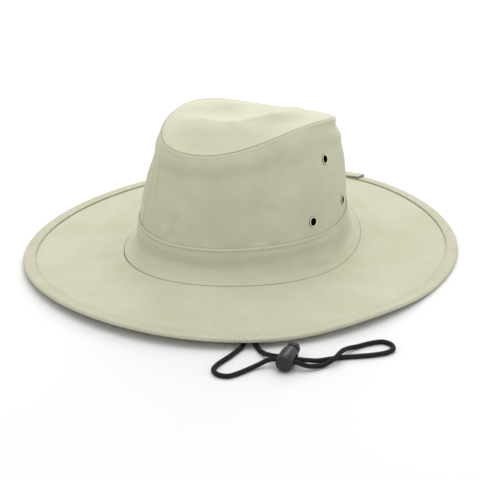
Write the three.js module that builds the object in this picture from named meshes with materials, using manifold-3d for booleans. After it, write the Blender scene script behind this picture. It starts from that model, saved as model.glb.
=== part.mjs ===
// A wide-brim canvas hat with a chin cord, resting on its brim.
// Millimetres, +Z up, the surface it rests on is z = 0. The front of the hat points along -Y and
// the wearer's left along +X. Angles go round the hat from +X towards +Y, so the back is at 90.
import * as THREE from "three";
import { mergeVertices } from "three/addons/utils/BufferGeometryUtils.js";
import Module from "manifold-3d";

const wasm = await Module();
wasm.setup();

// ---------------------------------------------------------------- driving dimensions
const AROUND = 60; // steps round the hat, shared by every cloth piece so that their facets line up
const GAP = 0.3; // clearance between pieces that touch on the real hat
const CLOTH = 1.6; // one sewn layer of canvas with its facing
const BRIM_CLOTH = 1.8; // two plies of canvas and an interlining
const BRIM_PRESSED = 1.2; // the same plies pressed together inside the binding
const RIBBON = 1.0; // folded bias ribbon
const RIBBON_WIDTH = 10; // how far the ribbon reaches in from the brim's edge
const RIBBON_END = 92; // the angle where its end is sewn down
const RIBBON_LAP = 7; // degrees by which its end laps over its start, 22 mm
const SIDE_LAP = 7; // how far the crown's wall reaches down inside the band
const BRIM_LAP = 9; // how far the brim reaches in under the band's foot

// The seams that go round the hat are ovals. A row gives one seam's half width, half length and
// how far its middle lies behind the origin.
const SEAMS = {
  tip: { halfWidth: 60, halfLength: 88.5, back: 8.1 },
  band: { halfWidth: 84, halfLength: 99, back: 0.3 },
  flare: { halfWidth: 93.5, halfLength: 112.5, back: 0.6 },
};

// Heights and reaches that change round the hat, at eight stations.
const STATIONS = [
  "left", "leftBack", "back", "rightBack", "right", "rightFront", "front", "leftFront",
];
const ROUND = {
  tip: {
    left: 121.5, leftBack: 109, back: 100, rightBack: 104.5,
    right: 119.5, rightFront: 114, front: 108.5, leftFront: 112.5,
  },
  band: {
    left: 34.5, leftBack: 38, back: 46, rightBack: 37,
    right: 34.5, rightFront: 36.5, front: 36.5, leftFront: 37.5,
  },
  flare: {
    left: 5.4, leftBack: 10, back: 16, rightBack: 8,
    right: 5, rightFront: 8.6, front: 11.3, leftFront: 11.4,
  },
  // how far the crown's wall stands out from the straight line between its seams, midway up and
  // in the rounded shoulder just under the tip seam
  swell: {
    left: 3, leftBack: 3, back: 2, rightBack: 2,
    right: 1, rightFront: 1, front: 1, leftFront: 2,
  },
  shoulder: {
    left: 2, leftBack: 1, back: 2, rightBack: 2,
    right: 1, rightFront: 1.5, front: 2, leftFront: 2,
  },
};
const EDGE = { halfWidth: 179.4, halfLength: 192.7, back: -0.6 };
const EDGE_FULLNESS = 0.011; // how much fuller than an oval the brim is at its four quarters

// The soft brim lifts off the surface in two broad waves and a short one, and lies on it between.
const EDGE_WAVES = [
  { angle: -76, halfSpan: 82, lift: 6.6 }, // over the chin cord and the front
  { angle: -15, halfSpan: 29, lift: 4.2 }, // the wearer's left of the front
  { angle: 88, halfSpan: 50, lift: 5 }, // the back
];

const SHOULDER_AT = 0.88; // of the way up the wall
const SHOULDER_SPAN = 0.16;

// The tip's form over the smooth sheet through its seam. Each row is one soft swelling or hollow:
// its middle, its half lengths along and across, the way its length points, and its height.
const TIP_FORMS = [
  { x: 22, y: 21.6, along: 50, across: 25, turn: 98, height: 14 }, // the wearer's left ridge
  { x: -43, y: 6.6, along: 54, across: 15, turn: 68, height: 8 }, // the wearer's right ridge
  { x: -6, y: -42.4, along: 45, across: 29, turn: 0, height: 12 }, // the rise where they meet in front
  { x: 2, y: 51.6, along: 37, across: 9, turn: 93, height: -6 }, // the crease between them
];

// The eyelet's hole, tube and flange are radii; its rolled rim stands up to the crest over the
// cloth. The wall's hole leaves room round the tube.
const EYELET = {
  hole: 2.75,
  tube: 3.1,
  flange: 4.5,
  thick: 0.6,
  rim: 0.42,
  crest: 0.84,
  clear: 0.4,
  room: 0.35,
  sides: 10,
};
const EYELET_DRILL = 12; // long enough to pass right through the wall
// A row places one eyelet on each side of the crown: its angle from the side towards the back,
// and how far up the wall from the band seam to the tip seam it sits.
const EYELETS = [
  { name: "top", angle: 9.5, up: 0.655 },
  { name: "front", angle: -5.5, up: 0.14 },
  { name: "back", angle: 26.5, up: 0.165 },
];

// Two tabs sewn inside the crown, one at each side, hold the cord's ends.
const TAB = { width: 12, thick: 6.4, foot: 14, top: 26, corner: 1.5, out: 82 };

// The cord's middle line, laid by hand: out of the wearer's right tab, under the brim, round the
// small loop, through the lock, round the end loop and back the same way to the left tab.
const CORD = { diameter: 3.8, sides: 8, steps: 76, above: 0.02 };
const CORD_ROUTE = [
  [-78.9, 0, 13.3], [-76.5, -1.7, 4.9], [-70.8, -5.8, 1.95], [104, -128.4, 1.95],
  [118, -141.9, 1.95], [121.5, -158.4, 1.95], [123.3, -178.1, 1.95], [126.1, -184.8, 1.95],
  [132.8, -187.6, 1.95], [139.5, -184.8, 1.95], [142.3, -178.1, 1.95], [146.5, -160.4, 2.8],
  [151.3, -153.2, 5.9], [156.4, -150.1, 6.7], [168.6, -145.2, 6.7], [176.5, -139.7, 4],
  [182, -129.4, 2.4], [185, -119.9, 4.9], [184, -110.9, 6], [182, -100.9, 3.7],
  [184.5, -89.4, 1.95], [190.2, -76.8, 1.95], [194.9, -71.8, 1.95], [201.8, -71.8, 1.95],
  [206.4, -76.8, 1.95], [206.1, -83.3, 1.95], [201, -92.4, 1.95], [184, -112.4, 1.95],
  [175.2, -126.4, 2.3], [172, -135.7, 5.4], [166.9, -141.1, 6.7], [154.6, -146.1, 6.7],
  [147, -146.4, 5.2], [139, -143.6, 2.8], [130, -139.4, 1.95], [114, -125.4, 1.95],
  [77, -39.4, 1.95], [78.9, -10, 1.95], [78.9, -2.9, 4.9], [78.9, 0, 13.3],
];

// The barrel lock lies on its side. Along its axis its middle is 0 and the button is at the +
// end; the two strands pass through it side by side.
const LOCK = {
  at: { x: 161.5, y: -145.7, z: 6.8 },
  turn: 22, // of its axis, from +Y towards -X
  bore: 4.7,
  boreEnd: -8.8,
  slotHalf: 5.1,
  slotHeight: 6,
  sides: 16,
};
const BARREL = [
  { along: -10.5, radius: 0 },
  { along: -10.3, radius: 3 },
  { along: -9.4, radius: 5.3 },
  { along: -7.2, radius: 6.5 },
  { along: -3, radius: 6.75 },
  { along: 4, radius: 6.75 },
  { along: 8, radius: 6.4 },
  { along: 9.7, radius: 5.7 },
  { along: 10, radius: 5.2 },
];
// The button's stem slides in the barrel's bore; its slot is longer than the strands are wide by
// the travel, so that the strands stay clear of it all the way.
const BUTTON = { radius: 4.3, travel: 2.5, foot: 1.3, slotFrom: -4.5, slotHeight: 5.4 };
const CAP = [
  { along: 13, radius: 4.3 },
  { along: 13, radius: 4.9 },
  { along: 13.6, radius: 5.2 },
  { along: 17.8, radius: 5 },
  { along: 19.3, radius: 4 },
  { along: 19.8, radius: 2 },
  { along: 19.8, radius: 0 },
];

// ---------------------------------------------------------------- small tools
const rad = THREE.MathUtils.degToRad;
const V = (x, y, z) => new THREE.Vector3(x, y, z);
const canvas = new THREE.MeshStandardMaterial({ color: 0xc9c7ad, roughness: 0.95, metalness: 0 });
const ribbon = new THREE.MeshStandardMaterial({ color: 0xbdbba2, roughness: 0.9, metalness: 0 });
const brass = new THREE.MeshStandardMaterial({ color: 0x8c7a4e, roughness: 0.4, metalness: 1 });
const braid = new THREE.MeshStandardMaterial({ color: 0x161616, roughness: 0.85, metalness: 0 });
const plastic = new THREE.MeshStandardMaterial({ color: 0x0e0e0f, roughness: 0.35, metalness: 0 });

const hat = new THREE.Group();

function addMesh(name, geometry, material, parent = hat) {
  const mesh = new THREE.Mesh(geometry, material.clone());
  mesh.name = name;
  parent.add(mesh);
  return mesh;
}

// A value that runs smoothly round the hat through its eight stations, as a sum of waves.
function roundHat(row) {
  const values = STATIONS.map((station) => row[station]);
  const count = values.length;
  const waves = [];
  for (let k = 0; k <= count / 2; k++) {
    const share = (k === 0 || k === count / 2 ? 1 : 2) / count;
    let cosine = 0;
    let sine = 0;
    values.forEach((value, j) => {
      cosine += share * value * Math.cos((2 * Math.PI * k * j) / count);
      sine += share * value * Math.sin((2 * Math.PI * k * j) / count);
    });
    waves.push({ k, cosine, sine });
  }
  const wave = ({ k, cosine, sine }, angle) => {
    const turn = k * rad(angle);
    return cosine * Math.cos(turn) + sine * Math.sin(turn);
  };
  return {
    at: (angle) => waves.reduce((sum, w) => sum + wave(w, angle), 0),
    fading: (angle, share) => waves.reduce((sum, w) => sum + share ** w.k * wave(w, angle), 0),
  };
}

// 1 in the middle of a span, falling smoothly to 0 at its ends.
function swell(offset, halfSpan) {
  const share = Math.abs(offset) / halfSpan;
  return share < 1 ? Math.cos((share * Math.PI) / 2) ** 2 : 0;
}
const turnBetween = (a, b) => ((((a - b + 180) % 360) + 360) % 360) - 180;

const round = {};
for (const [name, row] of Object.entries(ROUND)) round[name] = roundHat(row);

function seamPoint(name, angle, inward = 0) {
  const { halfWidth, halfLength, back } = SEAMS[name];
  return V(
    (halfWidth - inward) * Math.cos(rad(angle)),
    (halfLength - inward) * Math.sin(rad(angle)) + back,
    round[name].at(angle),
  );
}

// The level direction that points straight out of an oval at an angle.
function outwards(oval, angle) {
  return V(Math.cos(rad(angle)) / oval.halfWidth, Math.sin(rad(angle)) / oval.halfLength, 0).normalize();
}

// A closed section carried round the hat. sectionAt(angle, i) gives its corners, anticlockwise
// when seen along the direction of travel; an open sweep gets a flat face at each end.
function sweep(sectionAt, angles, closed = true) {
  const loops = angles.map((angle, i) => sectionAt(angle, i));
  const positions = [];
  const face = (a, b, c) => {
    if (a.distanceTo(b) > 1e-4 && b.distanceTo(c) > 1e-4 && c.distanceTo(a) > 1e-4)
      positions.push(...a, ...b, ...c);
  };
  const count = loops[0].length;
  const spans = closed ? loops.length : loops.length - 1;
  for (let i = 0; i < spans; i++) {
    const here = loops[i];
    const next = loops[(i + 1) % loops.length];
    for (let j = 0; j < count; j++) {
      const k = (j + 1) % count;
      face(here[j], next[j], next[k]);
      face(here[j], next[k], here[k]);
    }
  }
  if (!closed) {
    const endFace = (loop, forwards) => {
      const flat = loop.map((p) => new THREE.Vector2(Math.hypot(p.x, p.y), p.z));
      for (const [a, b, c] of THREE.ShapeUtils.triangulateShape(flat, [])) {
        const normal = loop[b].clone().sub(loop[a]).cross(loop[c].clone().sub(loop[a]));
        if (normal.dot(forwards) > 0) face(loop[a], loop[b], loop[c]);
        else face(loop[a], loop[c], loop[b]);
      }
    };
    const [first, second] = loops;
    const [beforeLast, last] = loops.slice(-2);
    endFace(first, first[0].clone().sub(second[0]));
    endFace(last, last[0].clone().sub(beforeLast[0]));
  }
  const geometry = new THREE.BufferGeometry();
  geometry.setAttribute("position", new THREE.Float32BufferAttribute(positions, 3));
  return geometry;
}

const ALL_ROUND = Array.from({ length: AROUND }, (_, i) => (360 * i) / AROUND);

function toSolid(geometry) {
  const bare = geometry.index ? geometry.toNonIndexed() : geometry.clone();
  bare.deleteAttribute("normal");
  bare.deleteAttribute("uv");
  const merged = mergeVertices(bare, 1e-3);
  return new wasm.Manifold(
    new wasm.Mesh({
      numProp: 3,
      vertProperties: merged.attributes.position.array,
      triVerts: new Uint32Array(merged.index.array),
    }),
  );
}

function toGeometry(solid) {
  const mesh = solid.getMesh();
  const geometry = new THREE.BufferGeometry();
  geometry.setAttribute("position", new THREE.BufferAttribute(new Float32Array(mesh.vertProperties), 3));
  geometry.setIndex(new THREE.BufferAttribute(new Uint32Array(mesh.triVerts), 1));
  return geometry;
}

// The normal of surface(a, b), and the same sheet a thickness below it.
function normalOf(surface, a, b, stepA, stepB) {
  const alongA = surface(a + stepA, b).sub(surface(a - stepA, b));
  const alongB = surface(a, b + stepB).sub(surface(a, b - stepB));
  return alongA.cross(alongB).normalize();
}

// ---------------------------------------------------------------- crown wall
const wallFoot = CLOTH + GAP; // the wall's outer face lies this far inside the band's

// The wall's outer face: up runs from 0 at the band seam to 1 at the tip seam.
function wallPoint(angle, up) {
  const foot = seamPoint("band", angle, wallFoot);
  const top = seamPoint("tip", angle);
  const out =
    round.swell.at(angle) * Math.sin(Math.PI * Math.max(up, 0)) +
    round.shoulder.at(angle) * swell(up - SHOULDER_AT, SHOULDER_SPAN);
  return foot.lerp(top, up).addScaledVector(outwards(SEAMS.band, angle), out);
}
const wallNormal = (angle, up) => normalOf(wallPoint, angle, up, 0.5, 0.002);

// ---------------------------------------------------------------- crown tip
// Over the smooth sheet through the tip seam lie the tip's soft forms.
function tipForm(x, y) {
  let height = 0;
  for (const form of TIP_FORMS) {
    const c = Math.cos(rad(form.turn));
    const s = Math.sin(rad(form.turn));
    const along = ((x - form.x) * c + (y - form.y) * s) / form.along;
    const across = (-(x - form.x) * s + (y - form.y) * c) / form.across;
    height += form.height * Math.exp(-(along ** 2) - across ** 2);
  }
  return height;
}

// The tip's outer face: share runs from 0 in the middle to 1 at the seam.
function tipPoint(angle, share) {
  const { halfWidth, halfLength, back } = SEAMS.tip;
  const x = share * halfWidth * Math.cos(rad(angle));
  const y = share * halfLength * Math.sin(rad(angle)) + back;
  const rim = 1 - Math.max(share, 0) ** 4; // the forms fade out at the seam
  return V(x, y, round.tip.fading(angle, share) + rim * tipForm(x, y));
}

// Where the wall and the tip meet, both are cut along the line that halves their corner.
const NEAR_SEAM = 0.94; // the last row of either sheet before the seam
function seamCorner(angle) {
  const wallIn = wallNormal(angle, 0.999).negate();
  const tipIn = normalOf(tipPoint, angle, 0.99, 0.5, 0.005);
  if (tipIn.z > 0) tipIn.negate();
  return wallIn.clone().add(tipIn).multiplyScalar(CLOTH / (1 + wallIn.dot(tipIn)));
}

function eyeletPlaces() {
  const places = [];
  for (const { name, angle, up } of EYELETS) {
    for (const [side, at] of [["left", angle], ["right", 180 - angle]]) {
      const turn = new THREE.Quaternion().setFromUnitVectors(V(0, 0, 1), wallNormal(at, up));
      places.push({ name: `eyelet_${side}_${name}`, at: wallPoint(at, up), turn });
    }
  }
  return places;
}

const WALL_ROWS = [0, 0.2, 0.42, 0.64, 0.78, 0.88, NEAR_SEAM];

function crownSide() {
  const section = (angle) => {
    const lap = V(0, 0, -SIDE_LAP);
    const foot = wallPoint(angle, 0);
    const footIn = outwards(SEAMS.band, angle).multiplyScalar(-CLOTH);
    const outer = [foot.clone().add(lap)];
    const inner = [foot.clone().add(lap).add(footIn)];
    for (const up of WALL_ROWS) {
      const point = wallPoint(angle, up);
      outer.push(point);
      const inwards = up === 0 ? footIn : wallNormal(angle, up).multiplyScalar(-CLOTH);
      inner.push(point.clone().add(inwards));
    }
    const top = wallPoint(angle, 1);
    const below = wallPoint(angle, NEAR_SEAM).sub(top).setLength(GAP / 2);
    outer.push(top.clone().add(below));
    inner.push(top.clone().add(below).add(seamCorner(angle)));
    return [...outer, ...inner.reverse()];
  };
  let wall = toSolid(sweep(section, ALL_ROUND));
  for (const { at, turn } of eyeletPlaces()) {
    const radius = EYELET.tube + EYELET.room;
    const drill = new THREE.CylinderGeometry(radius, radius, EYELET_DRILL, EYELET.sides);
    drill.rotateX(Math.PI / 2).applyQuaternion(turn).translate(at.x, at.y, at.z);
    wall = wall.subtract(toSolid(drill));
  }
  return toGeometry(wall);
}

const TIP_ROWS = [0.93, 0.8, 0.65, 0.49, 0.33, 0.17, 0];

function crownTip() {
  const section = (angle) => {
    const rim = tipPoint(angle, 1);
    const inwards = tipPoint(angle, NEAR_SEAM).sub(rim).setLength(GAP);
    const corner = seamCorner(angle);
    const outer = [rim.clone().add(inwards)];
    const inner = [rim.clone().add(inwards).add(corner)];
    for (const share of TIP_ROWS) {
      outer.push(tipPoint(angle, share));
      inner.push(tipPoint(angle, share).add(V(0, 0, -CLOTH)));
    }
    return [...outer, ...inner.reverse()];
  };
  return sweep(section, ALL_ROUND);
}

// ---------------------------------------------------------------- band
const BAND_ROWS = [0, 0.3, 0.55, 0.72, 0.87, 1];
// The two middle handles of the band's curve: their shares of the way out and of the way up.
const BAND_CURVE = {
  below: { out: 0.04, up: 0.22 },
  beside: { out: 0.3, up: 0.13 },
};

// The band's outer face: straight down from its top seam, then out onto the brim.
function bandPoint(angle, down) {
  const top = seamPoint("band", angle);
  const foot = seamPoint("flare", angle);
  const drop = top.z - foot.z;
  const reach = foot.clone().sub(top).setZ(0);
  const handle = ({ out, up }) => top.clone().addScaledVector(reach, out).setZ(foot.z + up * drop);
  const below = handle(BAND_CURVE.below);
  const beside = handle(BAND_CURVE.beside);
  return new THREE.CubicBezierCurve3(top, below, beside, foot).getPoint(down);
}

function crownBand() {
  const section = (angle) => {
    const outer = BAND_ROWS.map((down) => bandPoint(angle, down));
    const inner = BAND_ROWS.map((down, i) => {
      const at = Math.min(Math.max(down, 0.01), 0.99);
      const along = bandPoint(angle, at + 0.01).sub(bandPoint(angle, at - 0.01));
      const level = outwards(SEAMS.band, angle);
      const inwards = V(0, 0, 1).cross(level).cross(along).normalize();
      if (inwards.dot(level) > 0) inwards.negate();
      return outer[i].clone().addScaledVector(down === 0 ? level : inwards, down === 0 ? -CLOTH : CLOTH);
    });
    return [...inner, ...outer.reverse()];
  };
  return sweep(section, ALL_ROUND);
}

// ---------------------------------------------------------------- brim and binding
const ribbonHalf = BRIM_PRESSED / 2 + GAP + RIBBON; // half of the bound edge's thickness

// The middle of the bound edge. It is lowest where the ribbon lies on the surface.
function edgePoint(angle) {
  let z = ribbonHalf;
  for (const wave of EDGE_WAVES) z += wave.lift * swell(turnBetween(angle, wave.angle), wave.halfSpan);
  const fuller = 1 - EDGE_FULLNESS * Math.cos(4 * rad(angle));
  return V(
    EDGE.halfWidth * fuller * Math.cos(rad(angle)),
    EDGE.halfLength * fuller * Math.sin(rad(angle)) + EDGE.back,
    z,
  );
}

// The brim's middle sheet, a distance in from its edge: flat at the edge, rising to the band.
const BRIM_RISE = 1.5;
function brimPoint(angle, inset) {
  const edge = edgePoint(angle);
  const foot = seamPoint("flare", angle);
  foot.z -= CLOTH + GAP + BRIM_CLOTH / 2;
  const across = foot.clone().sub(edge).setZ(0).length();
  const share = inset / across;
  const rise = Math.max(share, 0) ** BRIM_RISE;
  const point = edge.clone().lerp(foot, share);
  point.z = edge.z + (foot.z - edge.z) * Math.min(rise, 1);
  return point;
}

function brimDepth(angle) {
  return seamPoint("flare", angle).sub(edgePoint(angle)).setZ(0).length();
}

function brim() {
  const rim = RIBBON + GAP;
  const section = (angle) => {
    const depth = brimDepth(angle);
    const rows = [
      { inset: rim, half: BRIM_PRESSED / 2 },
      { inset: RIBBON_WIDTH + GAP, half: BRIM_PRESSED / 2 },
      { inset: RIBBON_WIDTH + 2, half: BRIM_CLOTH / 2 },
      { inset: RIBBON_WIDTH + (depth - RIBBON_WIDTH) * 0.5, half: BRIM_CLOTH / 2 },
      { inset: depth, half: BRIM_CLOTH / 2 },
      { inset: depth + BRIM_LAP, half: BRIM_CLOTH / 2 },
    ];
    const below = rows.map((row) => brimPoint(angle, row.inset).add(V(0, 0, -row.half)));
    const above = rows.map((row) => brimPoint(angle, row.inset).add(V(0, 0, row.half)));
    return [...above.reverse(), ...below].reverse();
  };
  return sweep(section, ALL_ROUND);
}

const RIBBON_BEVEL = 0.9; // takes the sharpness off the fold

// The folded ribbon: a U round the brim's edge, grown by a lift where it laps over its own start.
function ribbonSection(angle, grow) {
  const level = outwards(EDGE, angle);
  const half = ribbonHalf + grow;
  const bevel = RIBBON_BEVEL;
  const inHalf = half - RIBBON;
  const at = (inset, z) => {
    const point = brimPoint(angle, Math.max(inset, 0));
    return point.addScaledVector(level, Math.max(-inset, 0)).add(V(0, 0, z));
  };
  return [
    at(RIBBON_WIDTH, half),
    at(bevel - grow, half),
    at(-grow, half - bevel),
    at(-grow, bevel - half),
    at(bevel - grow, -half),
    at(RIBBON_WIDTH, -half),
    at(RIBBON_WIDTH, -inHalf),
    at(RIBBON - grow, -inHalf),
    at(RIBBON - grow, inHalf),
    at(RIBBON_WIDTH, inHalf),
  ];
}

// The ribbon starts under its own end, runs right round, rises over its start and laps it.
function binding() {
  const step = 360 / AROUND;
  const end = RIBBON_END;
  const start = end + RIBBON_LAP;
  const stops = [{ angle: start, grow: 0 }];
  for (let angle = Math.floor(start / step) * step; angle > start - 360; angle -= step) {
    stops.push({ angle, grow: 0 });
  }
  const over = RIBBON + GAP;
  stops[stops.length - 1].grow = over;
  stops.push({ angle: start - 360, grow: over });
  for (let angle = Math.floor(start / step) * step; angle > end; angle -= step) {
    stops.push({ angle: angle - 360, grow: over });
  }
  stops.push({ angle: end - 360, grow: over });
  const sectionAt = (angle, i) => ribbonSection(angle, stops[i].grow);
  return sweep(sectionAt, stops.map((stop) => stop.angle), false);
}

// ---------------------------------------------------------------- eyelets
function eyelet() {
  const { hole, tube, flange, thick, rim, crest, sides, clear, room } = EYELET;
  const inside = -(CLOTH + clear);
  const washer = flange - room;
  const profile = [
    [hole, clear + rim],
    [tube + room, clear + crest],
    [washer, clear + thick],
    [flange, clear],
    [tube, clear],
    [tube, inside],
    [washer, inside],
    [washer, inside - thick],
    [hole, inside - thick],
    [hole, clear + rim],
  ];
  const points = profile.map(([radius, along]) => new THREE.Vector2(radius, along)).reverse();
  return new THREE.LatheGeometry(points, sides).rotateX(Math.PI / 2);
}

// ---------------------------------------------------------------- cord, tabs and lock
// A smooth line through the route that never sinks below the surface it lies on.
class LaidLine extends THREE.CatmullRomCurve3 {
  getPoint(t, target) {
    const point = super.getPoint(t, target);
    point.z = Math.max(point.z, CORD.diameter / 2 + CORD.above);
    return point;
  }
}

function cord() {
  const line = new LaidLine(CORD_ROUTE.map(([x, y, z]) => V(x, y, z)), false, "centripetal");
  line.arcLengthDivisions = 4000;
  const section = new THREE.Shape(
    Array.from({ length: CORD.sides }, (_, i) => {
      const turn = (2 * Math.PI * (i + 0.5)) / CORD.sides;
      return new THREE.Vector2(Math.cos(turn), Math.sin(turn)).multiplyScalar(CORD.diameter / 2);
    }),
  );
  return new THREE.ExtrudeGeometry(section, { steps: CORD.steps, extrudePath: line, curveSegments: 1 });
}

function cordTab() {
  const { width, thick, corner, foot, top } = TAB;
  const x = thick / 2 - corner;
  const y = width / 2 - corner;
  const outline = new THREE.Shape();
  outline.absarc(x, y, corner, 0, Math.PI / 2);
  outline.absarc(-x, y, corner, Math.PI / 2, Math.PI);
  outline.absarc(-x, -y, corner, Math.PI, 1.5 * Math.PI);
  outline.absarc(x, -y, corner, 1.5 * Math.PI, 2 * Math.PI);
  const shape = { depth: top - foot, bevelEnabled: false, curveSegments: 2 };
  return new THREE.ExtrudeGeometry(outline, shape).translate(0, 0, foot);
}

// Turned solids have their axis along Y. A row gives one ring of the outline.
function turned(rows) {
  const points = rows.map(({ along, radius }) => new THREE.Vector2(radius, along));
  return new THREE.LatheGeometry(points, LOCK.sides);
}

function slotCutter(from, to, height) {
  return toSolid(new THREE.BoxGeometry(40, to - from, height).translate(0, (from + to) / 2, 0));
}

function lockBody() {
  const mouth = BARREL[BARREL.length - 1].along;
  const bore = [
    { along: mouth, radius: LOCK.bore },
    { along: LOCK.boreEnd, radius: LOCK.bore },
    { along: LOCK.boreEnd, radius: 0 },
  ];
  const barrel = toSolid(turned([...BARREL, ...bore]));
  return toGeometry(barrel.subtract(slotCutter(-LOCK.slotHalf, LOCK.slotHalf, LOCK.slotHeight)));
}

function lockButton() {
  const { radius, travel, foot, slotFrom, slotHeight } = BUTTON;
  const stem = [
    { along: slotFrom - foot, radius: 0 },
    { along: slotFrom - foot, radius },
  ];
  const slotTo = -slotFrom + travel;
  const solid = toSolid(turned([...stem, ...CAP]));
  return toGeometry(solid.subtract(slotCutter(slotFrom, slotTo, slotHeight)));
}

// ---------------------------------------------------------------- assembly
addMesh("crown_tip", crownTip(), canvas);
addMesh("crown_side", crownSide(), canvas);
addMesh("crown_band", crownBand(), canvas);
addMesh("brim", brim(), canvas);
addMesh("brim_binding", binding(), ribbon);

for (const { name, at, turn } of eyeletPlaces()) {
  const mesh = addMesh(name, eyelet(), brass);
  mesh.position.copy(at);
  mesh.quaternion.copy(turn);
}

for (const [side, out] of [["left", 1], ["right", -1]]) {
  const mesh = addMesh(`cord_tab_${side}`, cordTab(), canvas);
  mesh.position.x = out * (TAB.out - TAB.thick / 2);
}
addMesh("chin_cord", cord(), braid);

const lock = new THREE.Group();
lock.position.set(LOCK.at.x, LOCK.at.y, LOCK.at.z);
lock.rotation.z = rad(LOCK.turn);
hat.add(lock);
addMesh("cord_lock_body", lockBody(), plastic, lock);
addMesh("cord_lock_button", lockButton(), plastic, lock);

export default hat;
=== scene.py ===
"""A wide-brim canvas hat with a chin cord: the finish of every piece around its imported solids.

Lengths in the tables are millimetres, as on the maker's pattern, and MM turns them to metres.
The front of the hat points along -Y and the wearer's left along +X. Angles go round the hat in
degrees from +X towards +Y, so the back is at 90.
"""

import math

import bpy
import numpy as np
from mathutils import Matrix, Vector


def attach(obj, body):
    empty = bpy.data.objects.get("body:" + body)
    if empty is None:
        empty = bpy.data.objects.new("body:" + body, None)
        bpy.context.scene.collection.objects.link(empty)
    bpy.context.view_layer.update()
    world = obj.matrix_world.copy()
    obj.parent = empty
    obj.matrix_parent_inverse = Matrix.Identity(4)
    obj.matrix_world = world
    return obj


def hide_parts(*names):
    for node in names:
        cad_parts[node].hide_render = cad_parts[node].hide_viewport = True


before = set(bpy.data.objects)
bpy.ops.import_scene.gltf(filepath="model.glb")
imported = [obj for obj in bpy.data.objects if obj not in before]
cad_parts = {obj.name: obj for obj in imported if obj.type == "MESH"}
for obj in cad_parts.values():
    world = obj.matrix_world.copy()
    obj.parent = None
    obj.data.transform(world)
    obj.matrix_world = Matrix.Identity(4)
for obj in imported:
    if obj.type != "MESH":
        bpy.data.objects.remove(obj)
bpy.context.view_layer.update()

MM = 0.001
HAT = "hat"
BUTTON_BODY = "lock_button"


def named(columns, *rows):
    """A table's rows as dictionaries, each value under its column's name."""
    return [dict(zip(columns.split(), row)) for row in rows]


# ---------------------------------------------------------------- the hat's driving dimensions
GAP = 0.3  # between pieces that lie on one another
CLOTH = 1.6
BRIM_CLOTH = 1.8
BRIM_PRESSED = 1.2  # the brim's thickness under the ribbon
RIBBON = 1.0
RIBBON_WIDTH = 10
RIBBON_STITCH = 8.4  # how far in from the edge the ribbon is sewn
RIBBON_END = 92  # the angle at which the ribbon starts
RIBBON_LAP = 7  # the degrees by which it laps over its own start
RIBBON_CURL = 1.2  # how far its free end lifts
SIDE_LAP = 7
BRIM_LAP = 9

SEAMS = {
    "tip": {"half_width": 60, "half_length": 88.5, "back": 8.1},
    "band": {"half_width": 84, "half_length": 99, "back": 0.3},
    "flare": {"half_width": 93.5, "half_length": 112.5, "back": 0.6},
}
EDGE = {"half_width": 179.4, "half_length": 192.7, "back": -0.6, "fullness": 0.011}

# Heights and reaches at eight stations: left, left back, back, right back, right, right front,
# front, left front.
ROUND = {
    "tip": [121.5, 109, 100, 104.5, 119.5, 114, 108.5, 112.5],
    "band": [34.5, 38, 46, 37, 34.5, 36.5, 36.5, 37.5],
    "flare": [5.4, 10, 16, 8, 5, 8.6, 11.3, 11.4],
    "swell": [3, 3, 2, 2, 1, 1, 1, 2],
    "shoulder": [2, 1, 2, 2, 1, 1.5, 2, 2],
}
SHOULDER_AT = 0.88  # the share up the wall where it stands out under the tip
SHOULDER_SPAN = 0.16
EDGE_WAVES = named(
    "angle half_span lift",
    (-76, 82, 6.6),
    (-15, 29, 4.2),
    (88, 50, 5),
)
BRIM_RISE = 1.5  # the power by which the brim rises to the crown
# Rounded forms pushed up or down in the tip: the middle, the half sizes, the turn and the height.
TIP_FORMS = named(
    "x y along across turn height",
    (22, 21.6, 50, 25, 98, 14),
    (-43, 6.6, 54, 15, 68, 8),
    (-6, -42.4, 45, 29, 0, 12),
    (2, 51.6, 37, 9, 93, -6),
)

# One side's eyelets: the angle round the wall, and the share up it.
EYELETS = named(
    "name angle up",
    ("top", 9.5, 0.655),
    ("front", -5.5, 0.14),
    ("back", 26.5, 0.165),
)

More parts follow.
